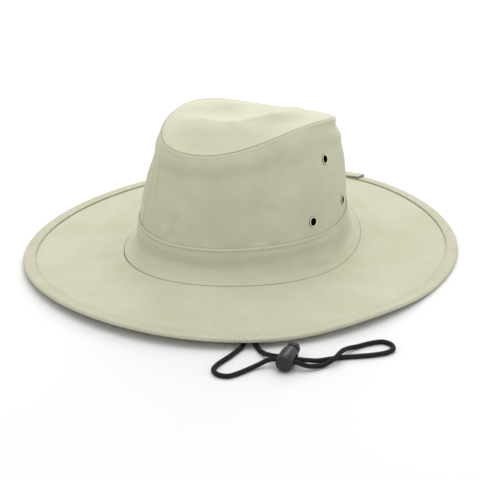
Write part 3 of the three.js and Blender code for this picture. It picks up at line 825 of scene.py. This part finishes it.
def route_line(route, per_span=24):
    """A smooth line through the route, as closely spaced points, never below the surface."""
    p = np.array(route, float)
    p = np.vstack([2 * p[0] - p[1], p, 2 * p[-1] - p[-2]])
    line = []
    for i in range(1, len(p) - 2):
        a, b, c, d = p[i - 1 : i + 3]
        gaps = [np.linalg.norm(q - r) ** 0.5 for q, r in ((b, a), (c, b), (d, c))]
        leave = (b - a) / gaps[0] - (c - a) / (gaps[0] + gaps[1]) + (c - b) / gaps[1]
        enter = (c - b) / gaps[1] - (d - b) / (gaps[1] + gaps[2]) + (d - c) / gaps[2]
        leave, enter = leave * gaps[1], enter * gaps[1]
        t = np.linspace(0, 1, per_span, endpoint=False)[:, None]
        square, cube = -3 * b + 3 * c - 2 * leave - enter, 2 * b - 2 * c + leave + enter
        line.append(b + leave * t + square * t**2 + cube * t**3)
    line.append(p[-2][None])
    line = np.vstack(line)
    line[:, 2] = np.maximum(line[:, 2], CORD_DIAMETER / 2 + CORD_REST)
    return line


def evenly(line, step):
    """The line's points again, a step apart, and how far along each is."""
    lengths = np.concatenate([[0], np.cumsum(np.linalg.norm(np.diff(line, axis=0), axis=1))])
    at = np.linspace(0, lengths[-1], int(lengths[-1] / step) + 1)
    return np.stack([np.interp(at, lengths, line[:, k]) for k in range(3)], axis=1), at


def frames_along(line):
    """Two directions across a line at each of its points, turning no more than the line does."""
    tangent = unit(np.gradient(line, axis=0))
    side = np.empty_like(tangent)
    side[0] = unit(np.cross(tangent[0], (0.3, 1, 0.2)))
    for i in range(1, len(line)):
        turned = side[i - 1] - tangent[i] * (side[i - 1] @ tangent[i])
        side[i] = turned / np.linalg.norm(turned)
    return side, np.cross(tangent, side)


def make_cord(material):
    """A round braid whose strands pass over and under."""
    line, at = evenly(route_line(CORD_ROUTE), BRAID["step"])
    side, rise = frames_along(line)
    columns, rows = len(line) - 1, BRAID["rows"]
    piece, i, j = grid("chin_cord_braid", columns, rows)
    turn = 2 * math.pi * (j % rows) / rows
    round_it, along_it = BRAID["strands"] * turn / (2 * math.pi), at[i] / (2 * BRAID["lay"])
    a, b = round_it + along_it, round_it - along_it
    over = (np.floor(a) + np.floor(b)) % 2 == 0
    first, second = np.abs(np.sin(math.pi * a)), np.abs(np.sin(math.pi * b))
    height = np.where(over, first * second**0.35, first**0.35 * second)
    radius = CORD_DIAMETER / 2 - BRAID["relief"] + BRAID["relief"] * height
    x, y = (radius * np.cos(turn))[:, None], (radius * np.sin(turn))[:, None]
    place = line[i] + side[i] * x + rise[i] * y
    set_co(piece, place * MM)
    # The strands' heights, which the cord's material paints as highlights on the crests and shade between
    # them.
    set_mark(piece, "strand_painted_light", height)
    sew(piece, closed=False)
    finished(piece, material, nodes=["chin_cord"])
    return piece


# ---------------------------------------------------------------- crown
AROUND = 330  # columns of faces round the hat
# About how long the cloth is up the wall, out over the tip and down the band, which places what
# lies beside its seams.
WALL_HEIGHT = 80
TIP_REACH = 75
BAND_DROP = 30


def spread(count, ends=0.0):
    """Shares from 0 to 1, closer together near both ends."""
    t = np.linspace(0, 1, count)
    return t - ends * np.sin(2 * math.pi * t) / (2 * math.pi)


def row_marks(piece, rows, fade=1.0, **marks):
    """Stores marks by each vertex's row number, weaker where the vertex's fade is below 1."""
    for name, values in marks.items():
        full = np.zeros(rows.max() + 1)
        full[: len(values)] = values
        set_mark(piece, name, full[rows % len(full)] * fade)


def fading(angle, middle, reach, over, least):
    """1 within reach of a middle angle, easing to least over some more degrees."""
    past = np.abs(turn_between(angle, middle)) - reach
    return 1 - (1 - least) * ease(past / over)


def rolled(inside, roll):
    """How far cloth stands out at a distance inside the seam that its edge is rolled into."""
    pulled = roll["pinch"] * bump(inside, roll["tight"])
    return roll["out"] * bump(inside - roll["at"], roll["wide"]) - pulled


def make_wall(material):
    """The crown's wall: a rolled lip under the tip seam, gathers over the band, and its folds."""
    rows = spread(64, 0.92) * 0.996
    below = (1 - rows) * WALL_HEIGHT

    def section(angle):
        level = outwards(SEAMS["band"], angle)
        foot = wall_point(angle, 0) - (0, 0, SIDE_LAP)
        outer, inner = [foot], [foot - level * CLOTH]
        for up, stands in zip(rows, rolled(below, SIDE_ROLL)):
            point, normal = wall_point(angle, up), square_to(wall_point, angle, up, 0.002)
            outer.append(point + normal * stands)
            inner.append(point - normal * CLOTH)
        return hemmed(outer, inner, 3)

    piece, _, j = ring("crown_side_cloth", section, AROUND)
    # Painted shade along the tip seam and on the hem rolled into it, and a paler lip just below, partly wear
    # and partly painted highlight.
    line = PAINTED_SEAM_SHADE["dark"] * bump(below, PAINTED_SEAM_SHADE["half_width"])
    seam = np.concatenate([[0], line, [0.6] * 3])
    worn = np.concatenate([[0], 0.35 * bump(below - 1.5, 1.2)])
    row_marks(piece, j, seam=seam, worn=worn)
    sew(piece)
    for _, matrix in eyelet_places():
        punch(piece, matrix)
    return finished(piece, material, nodes=["crown_side"])


def make_tip(material):
    """The crown's top panel with its ridges, its creases and its edge rolled into the seam."""
    rows = 72
    piece, i, j = grid("crown_tip_cloth", AROUND, rows)
    angle = 360 * i / AROUND
    share = 0.9965 * np.sin(j / rows * math.pi / 2) ** 0.9
    point, normal = tip_point(angle, share), square_to(tip_point, angle, np.maximum(share, 0.02), -0.005)
    inside = (1 - share) * TIP_REACH
    set_co(piece, (point + normal * rolled(inside, TIP_ROLL)[:, None]) * MM)
    # Painted shade along the seam; the face painted paler, partly wear and partly painted light, except
    # towards its front seam.
    set_mark(piece, "seam", PAINTED_SEAM_SHADE["dark"] * bump(inside, PAINTED_SEAM_SHADE["half_width"]))
    unworn = stretch(angle, TIP_SHADED_FRONT) * ease((share - TIP_SHADED_FRONT["from"]) / TIP_SHADED_FRONT["over"])
    set_mark(piece, "worn", TIP_PALE_WEAR_AND_LIGHT * (1 - unworn) * ease(inside / 6))
    flat_cut(piece)
    in_edit_mode(
        piece,
        (bpy.ops.mesh.remove_doubles, {"threshold": MEETING}),
        (bpy.ops.mesh.normals_make_consistent, {"inside": False}),
    )
    if sum(face.normal.z for face in piece.data.polygons) < 0:
        in_edit_mode(piece, (bpy.ops.mesh.flip_normals, {}))
    thicken(piece, CLOTH)
    return finished(piece, material, nodes=["crown_tip"])


def make_band(material):
    """The band: a folded top edge that stands a little proud, a hollow under it, and a flare."""
    rows = spread(54, 0.9)
    edge = BAND_EDGE

    def section(angle):
        outer, inner = [], []
        level = outwards(SEAMS["band"], angle)
        around = np.cross((0, 0, 1), level)
        for down in rows:
            at = min(max(down, 0.01), 0.99)
            out = unit(np.cross(around, band_point(angle, at + 0.01) - band_point(angle, at - 0.01)))
            out = np.where((out * level).sum(axis=-1, keepdims=True) < 0, -out, out)
            below = down * band_drop(angle)
            fallen = ease((below - edge["full"]) / (edge["wide"] - edge["full"]))
            stands = edge["lip"] * ease(below / edge["rise"]) * (1 - fallen)
            stands = stands - edge["pinch"] * bump(below - edge["stitched"], edge["pinch_wide"])
            stands = stands - edge["drawn_in"] * (1 - ease(below / edge["over"]))
            still = ease((down - edge["still"]) / 0.1) * ease((1 - down) / 0.12)
            stands = stands + folds(BAND_FOLDS, angle, down) * still
            point = band_point(angle, down)
            outer.append(point + out * stands[:, None])
            inner.append(point - out * CLOTH)
        return hemmed(outer, inner, 7)

    piece, i, j = ring("crown_band_cloth", section, AROUND)
    # A paler crest on the folded top edge, partly wear and partly painted highlight; painted shade under the
    # stitches and on the hem at the flare seam. Both are strongest along the front.
    below = rows * BAND_DROP
    worn = 0.9 * bump(below - edge["full"], 0.6)
    hem = [0.0, 0.1, 0.3, 0.6, 0.9, 0.9, 0.9]
    seam = np.concatenate([0.22 * bump(below - edge["stitched"] - 0.2, 0.7), hem])
    row_marks(piece, j, fading(360 * i / AROUND, *SEAM_FADE), seam=seam, worn=worn)
    return finished(sew(piece), material, nodes=["crown_band"])


# ---------------------------------------------------------------- brim
def make_brim(material):
    """The brim's plies: pressed thin under the ribbon and turned down into the band's seam."""
    flat = np.linspace(0, 1, 44)[1:]
    full_from, half = PRESS[-1]
    swells = BRIM_SWELLS

    def section(angle):
        depth = brim_depth(angle)
        rows = [(inset, pressed, 0) for inset, pressed in PRESS]
        for share in flat:
            inset = full_from + (depth - GROOVE["before"] - full_from) * share
            rise = GROOVE["swell"] * ease((share - GROOVE["from"]) / (1 - GROOVE["from"]))
            rows.append((inset, half, rise))
        closed = GROOVE["closes"] * (1 - fading(angle, *SEAM_FADE))
        rows += [(depth + past + closed, half, rise) for past, rise in GROOVE["steps"]]
        rows += [(depth, half, 0), (depth + BRIM_LAP, half, 0)]
        above, below = [], []
        for inset, thick, rise in rows:
            point = brim_point(angle, inset)
            share = (inset - full_from) / (depth - full_from)
            quiet = ease(share / swells["quiet"]) * ease((swells["until"] - share) / swells["quiet"])
            swell = swells["height"] * uneven(point[:, 0], point[:, 1], swells["size"])
            point[:, 2] += swell * quiet + rise
            above.append(point + (0, 0, thick))
            below.append(point - (0, 0, thick))
        return hemmed(above, below, 3)

    columns = 400
    count = len(PRESS) + len(flat) + len(GROOVE["steps"]) + 2
    piece, i, j = ring("brim_cloth", section, columns)
    # Painted shade along the ribbon's inner edge and in the groove at the band's seam, each fading away from
    # its own stretch of the hat.
    seam = np.zeros(count)
    seam[1:5] = 0.7, 0.4, 0.2, 0.0
    seam[-5:] = 0.1, 0.35, 0.8, 1.0, 1.0
    angle = 360 * i / columns
    fade = np.where(j < count / 2, fading(angle, *RIBBON_FADE), fading(angle, *SEAM_FADE))
    row_marks(piece, j, fade, seam=seam)
    flat_cut(piece)
    return finished(sew(piece), material, nodes=["brim"])


def ribbon_section(angle, grow, curl):
    """The folded ribbon round the brim's edge, grown outwards where it laps over its own start.

    curl lifts its upper leg off the brim.
    """
    level = outwards(EDGE, angle)
    half = RIBBON_HALF + grow
    inner = half - RIBBON
    turns = np.linspace(0, math.pi / 2, RIBBON_FOLD["turns"])
    bend, under, rise = RIBBON_FOLD["round"], RIBBON_FOLD["under"], RIBBON_FOLD["rise"]

    def at(inset, z):
        point = brim_point(angle, np.maximum(inset, 0)) + level * np.maximum(-inset, 0)[..., None]
        point[..., 2] += z
        return point

    loop = [at(inset, half - nearer + curl) for inset, nearer in RIBBON_LEG + [(3, 0)]]
    for t in turns:
        z = half - bend + bend * math.cos(t) + curl * (1 - t / math.pi)
        loop.append(at(bend - grow - bend * math.sin(t), z))
    for t in turns:
        loop.append(at(under * (1 - math.cos(t)) - grow, -half + rise - rise * math.sin(t)))
    loop += [at(inset, nearer - half) for inset, nearer in [(4, 0)] + RIBBON_LEG[::-1]]
    loop += [at(RIBBON_WIDTH, RIBBON_BED - inner), at(RIBBON - grow, -inner)]
    loop += [at(RIBBON - grow, inner + 0.6 * curl), at(RIBBON_WIDTH, inner - RIBBON_BED + 0.5 + curl)]
    return loop


def make_binding(material):
    """The ribbon all round, its free end lapped over its start and curling up a little."""
    columns = 420
    first, last = RIBBON_END + RIBBON_LAP, RIBBON_END - 360
    angle = np.linspace(first, last, columns + 1)
    over = first - 360
    grow = (RIBBON + GAP) * ease((over + 2.5 - angle) / 2.2)
    curl = RIBBON_CURL * ease((over - angle) / RIBBON_LAP) ** 2
    loops = np.stack(ribbon_section(angle, grow, curl), axis=1)
    rows = loops.shape[1]
    piece, i, j = tube("brim_binding_ribbon", loops)
    length = np.linalg.norm(np.diff(loops[:, len(RIBBON_LEG) + 1], axis=0), axis=1).sum()
    lay_out(piece, length, (0, RIBBON_GIRTH))
    # Painted shade at its upper edge, under its fold and inside.
    seam = np.zeros(rows)
    seam[0], seam[1] = 0.35, 0.05
    seam[15:21] = 0.15, 0.35, 0.5, 0.6, 0.6, 0.5
    seam[-4:] = 0.4
    edge = np.isin(j % rows, (0, 1))
    fade = np.where(edge, fading(angle[i], *RIBBON_FADE), 1)
    row_marks(piece, j % rows, fade, seam=seam)
    sew(piece, closed=False)
    return finished(piece, material, nodes=["brim_binding"])


# ---------------------------------------------------------------- stitches
def make_stitches(name, line, normals, material):
    """A row of short thread stitches along a closed line, each sunk a little into the cloth."""
    piece = start(name, bpy.ops.mesh.primitive_uv_sphere_add, segments=6, ring_count=5, radius=1)
    one = co(piece)
    faces = [tuple(face.vertices) for face in piece.data.polygons]
    places, at = evenly(line, 0.5)
    last = len(places) - 1
    out = np.stack([np.interp(at, np.linspace(0, at[-1], len(normals)), n) for n in normals.T], axis=1)
    size = np.array([STITCH["length"], STITCH["thick"], STITCH["thick"]]) / 2
    count = int(at[-1] / (STITCH["length"] + STITCH["gap"]))
    vertices, joined = [], []
    for n in range(count):
        k = int((n + 0.5) / count * last)
        along = unit(places[min(k + 2, last)] - places[max(k - 2, 0)])
        up = unit(out[k] - along * (out[k] @ along))
        side = np.cross(along, up)
        axes = np.array([along + side * STITCH["lean"], side, up]) * size[:, None]
        joined += [tuple(v + len(one) * n for v in face) for face in faces]
        vertices.append(places[k] + one[:, [2, 0, 1]] @ axes)
    piece.data.clear_geometry()
    piece.data.from_pydata((np.vstack(vertices) * MM).tolist(), [], joined)
    in_edit_mode(piece, (bpy.ops.mesh.normals_make_consistent, {"inside": False}))
    smooth(60)
    return finished(piece, material)


def make_all_stitches(thread):
    angle = np.linspace(0, 360, 721)
    line = band_point(angle, BAND_EDGE["stitched"] / band_drop(angle))
    out = unit(outwards(SEAMS["band"], angle) + (0, 0, 0.15))
    drawn_in = BAND_EDGE["drawn_in"] * (1 - ease(BAND_EDGE["stitched"] / BAND_EDGE["over"]))
    line = line - out * (drawn_in + BAND_EDGE["pinch"] - 0.05)
    make_stitches("band_stitches", line, out, thread)
    ribbon = brim_point(angle, RIBBON_STITCH)
    for side, sign in (("above", 1), ("below", -1)):
        up = points(0, 0, sign) + 0 * ribbon
        line = ribbon + up * (RIBBON_HALF - STITCH["sunk"])
        make_stitches(f"ribbon_stitches_{side}", line, up, thread)


# ---------------------------------------------------------------- eyelets
EYELET_PUNCH = {"radius": 3.6, "depth": 14}
# The brass ring's section: its distance from the hole's middle and its height over the cloth.
EYELET_SECTION = [
    (3.15, -2.3), (3.15, -1.0), (3.15, 0.05), (3.2, 0.38), (3.34, 0.62), (3.58, 0.76), (3.86, 0.72),
    (4.1, 0.55), (4.3, 0.32), (4.43, 0.14), (4.5, 0.02), (4.44, -0.12), (4.2, -0.12), (3.45, -0.1),
    (3.45, -1.0), (3.45, -1.75), (4.2, -1.75), (4.3, -1.9), (4.2, -2.1), (3.6, -2.35), (3.3, -2.42),
]
EYELET_CREST = range(4, 8)  # the points of the section that handling has rubbed bright


def eyelet_places():
    """Each eyelet's name, and the matrix that stands it on the wall."""
    places = []
    for row in EYELETS:
        for side, angle in (("left", row["angle"]), ("right", 180 - row["angle"])):
            a, up = np.array([float(angle)]), np.array([row["up"]])
            point, normal = wall_point(a, up)[0], square_to(wall_point, a, up, 0.002)[0]
            turn = Vector(normal).to_track_quat("Z", "Y").to_matrix().to_4x4()
            places.append((f"eyelet_{side}_{row['name']}", Matrix.Translation(Vector(point)) @ turn))
    return places


def punch(cloth, matrix):
    """Cuts the round hole that an eyelet's tube fills."""
    matrix = matrix.copy()
    matrix.translation *= MM
    size = {key: value * MM for key, value in EYELET_PUNCH.items()}
    tool = start("punch", bpy.ops.mesh.primitive_cylinder_add, vertices=40, **size)
    tool.data.transform(matrix)
    cut_out(cloth, tool, "punched_hole")


def turned(name, section, matrix, steps=48, worn=()):
    """A ring or a solid turned round an axis from its (radius, height) points.

    A section that starts and ends on the axis makes a solid. Any other is closed to make a ring.
    The last argument lists the points of the section that handling has brightened.
    """
    if section[0][0] or section[-1][0]:
        section = section + section[:1]
    rows = len(section) - 1
    piece, i, j = grid(name, steps, rows)
    radius, height = np.array(section).T
    turn = 2 * math.pi * i / steps
    place = points(radius[j] * np.cos(turn), radius[j] * np.sin(turn), height[j])
    set_co(piece, place @ np.array(matrix.to_3x3()).T * MM + np.array(matrix.translation) * MM)
    set_mark(piece, "worn", np.isin(j, list(worn)).astype(float))
    return sew(piece)


def make_eyelets(material):
    for name, matrix in eyelet_places():
        ring_piece = turned(name + "_brass", EYELET_SECTION, matrix, worn=EYELET_CREST)
        finished(ring_piece, material, nodes=[name])


# ---------------------------------------------------------------- cord tabs
TAB = {"width": 12, "thick": 6.4, "foot": 14, "top": 26, "out": 82, "soft": 1.1}


def make_tab(side, sign, material):
    """A folded canvas tab, sewn shut over the cord's end."""
    piece = start(f"cord_tab_{side}_cloth", bpy.ops.mesh.primitive_cube_add, size=1)
    in_edit_mode(piece, (bpy.ops.mesh.subdivide, {"number_cuts": 11}))
    x, y, z = co(piece).T
    plump = 0.72 + 0.28 * np.clip(1 - (2 * y) ** 4, 0, 1) * (0.75 + 0.25 * np.cos(2 * math.pi * (z - 0.1)))
    moved = points(
        sign * (TAB["out"] - TAB["thick"] / 2) + x * TAB["thick"] * plump,
        y * TAB["width"] * (0.97 + 0.03 * np.cos(4 * math.pi * z)),
        TAB["foot"] + (z + 0.5) * (TAB["top"] - TAB["foot"]),
    )
    set_co(piece, moved * MM)
    lay_out(piece, 40, (0, 30))
    apply(piece, "BEVEL", "soft_edges", width=TAB["soft"] * MM, segments=3, limit_method="ANGLE")
    smooth(CLOTH_CREASE)
    finished(piece, material, nodes=[f"cord_tab_{side}"])


# ---------------------------------------------------------------- cord lock
# Each profile's points: how far along the lock, and how far out from its middle.
BARREL = [
    (-10.5, 0), (-10.45, 1.6), (-10.25, 3.1), (-9.85, 4.4), (-9.2, 5.4), (-8.2, 6.1), (-7.0, 6.5),
    (-5.0, 6.7), (-2.0, 6.75), (1.5, 6.75), (5.0, 6.65), (7.6, 6.45), (9.0, 6.15), (9.7, 5.8),
    (10.0, 5.3), (9.9, 4.85), (9.4, 4.7), (-8.5, 4.7), (-8.8, 4.4), (-8.8, 0),
]
BUTTON = [
    (-5.8, 0), (-5.8, 3.9), (-5.5, 4.25), (8.0, 4.3), (12.8, 4.3), (13.0, 4.45), (13.1, 4.8), (13.4, 5.1),
    (13.9, 5.22), (14.4, 5.1), (14.7, 4.85), (15.0, 4.85), (15.3, 5.08), (15.7, 5.12), (16.1, 5.02),
    (16.4, 4.75), (16.7, 4.75), (17.0, 4.95), (17.5, 4.98), (18.3, 4.75), (19.0, 4.2), (19.5, 3.3),
    (19.75, 2.0), (19.8, 0),
]
BODY_SLOT = {"from": -5.1, "to": 5.1, "height": 6}
BUTTON_SLOT = {"from": -4.5, "to": 7.0, "height": 5.4}
SLOT_ROUND = 2.2


def lock_matrix():
    lie = Matrix.Rotation(math.radians(-90), 4, "X")
    turn = Matrix.Rotation(math.radians(LOCK["turn"]), 4, "Z")
    return Matrix.Translation(Vector(LOCK["at"])) @ turn @ lie


def moulded(name, profile, slot, material, body, node):
    """A turned plastic part, its strand slot cut through and its edges eased."""
    piece = turned(name, [(radius, along) for along, radius in profile], lock_matrix(), steps=56)
    shape = Matrix.Diagonal((40, slot["height"], slot["to"] - slot["from"], 1))
    middle = Matrix.Translation((0, 0, (slot["from"] + slot["to"]) / 2))
    tool = start("slot", bpy.ops.mesh.primitive_cube_add, size=1)
    tool.data.transform(Matrix.Scale(MM, 4) @ (lock_matrix() @ middle @ shape))
    apply(tool, "BEVEL", "rounded_slot", width=SLOT_ROUND * MM, segments=5)
    cut_out(piece, tool, "strand_slot")
    smooth(35)
    return finished(piece, material, body=body, nodes=[node])


# ---------------------------------------------------------------- make everything
canvas = canvas_material("cotton_canvas_twill", "DIAGONAL", 1.3, 0.05, 0.3)
# The ribbon's real ribs, 0.9 mm apart, are too fine to show, so they are drawn 1.9 mm apart.
ribbon_cloth = canvas_material("bias_cut_cotton_ribbon", "X", 1.9, 0.2, 0.8)
thread = thread_material()
brass = brass_material()
plastic = plastic_material()

make_camera()
lock_pieces = [
    moulded("cord_lock_barrel", BARREL, BODY_SLOT, plastic, HAT, "cord_lock_body"),
    moulded("cord_lock_plunger", BUTTON, BUTTON_SLOT, plastic, BUTTON_BODY, "cord_lock_button"),
]
make_cord(braid_material())
make_stage()

make_wall(canvas)
make_tip(canvas)
make_band(canvas)
make_brim(canvas)
make_binding(ribbon_cloth)
make_all_stitches(thread)
make_eyelets(brass)
for side, sign in (("left", 1), ("right", -1)):
    make_tab(side, sign, ribbon_cloth)
